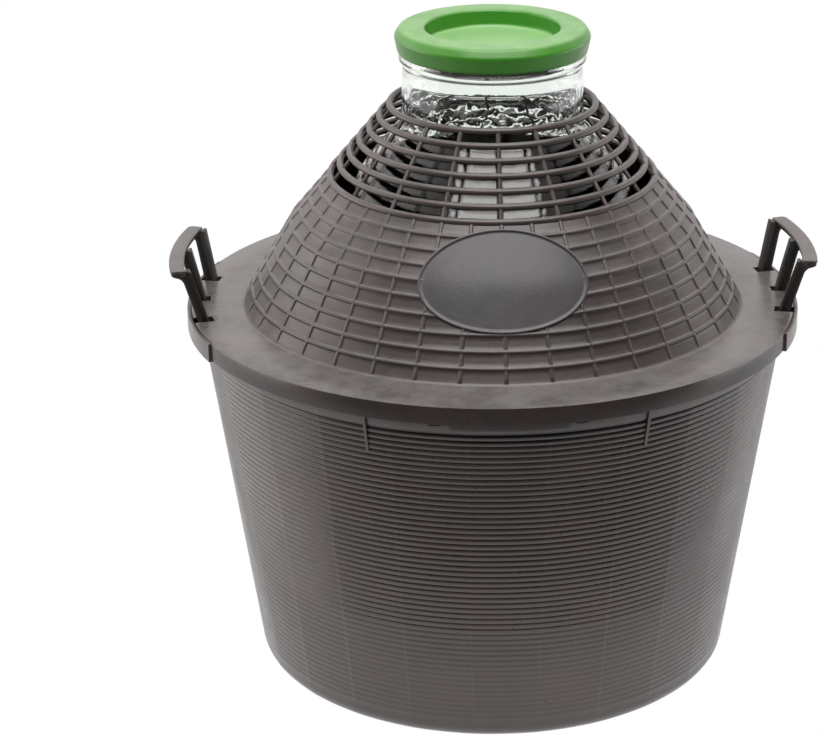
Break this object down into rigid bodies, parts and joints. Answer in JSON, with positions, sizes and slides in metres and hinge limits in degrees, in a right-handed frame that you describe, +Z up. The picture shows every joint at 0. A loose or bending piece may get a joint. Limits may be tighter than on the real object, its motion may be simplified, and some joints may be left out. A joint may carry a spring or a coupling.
{
  "type": "demijohn",
  "caption": "Wide-necked glass demijohn in a round tapered plastic basket with two side handles, a conical lattice cover with an oval badge plate and a green stopper cap.",
  "frame": {"origin": "middle of the tub's base, on the floor", "axes": "+Z up along the jar's axis, the badge and front catch face -Y, the two handles stand on the X axis"},
  "size_m": [0.5184, 0.49, 0.5276],
  "materials": {
    "basket_plastic": "dark warm grey moulded polypropylene, satin, finely ribbed",
    "cover_plastic": "dark warm grey moulded polypropylene, satin",
    "jar_glass": "clear pale green blown glass with a rippled neck",
    "cap_plastic": "leaf green soft polyethylene, satin"
  },
  "bodies": {
    "jar_in_basket": {"basket_tub": "basket_plastic", "basket_cover": "cover_plastic", "glass_demijohn": "jar_glass"},
    "cap": {"stopper_cap": "cap_plastic"}
  },
  "joints": [
    {"name": "cap_lift", "type": "slide", "parent": "jar_in_basket", "child": "cap", "axis": [0, 0, 1], "range_m": [0, 0.045]}
  ]
}
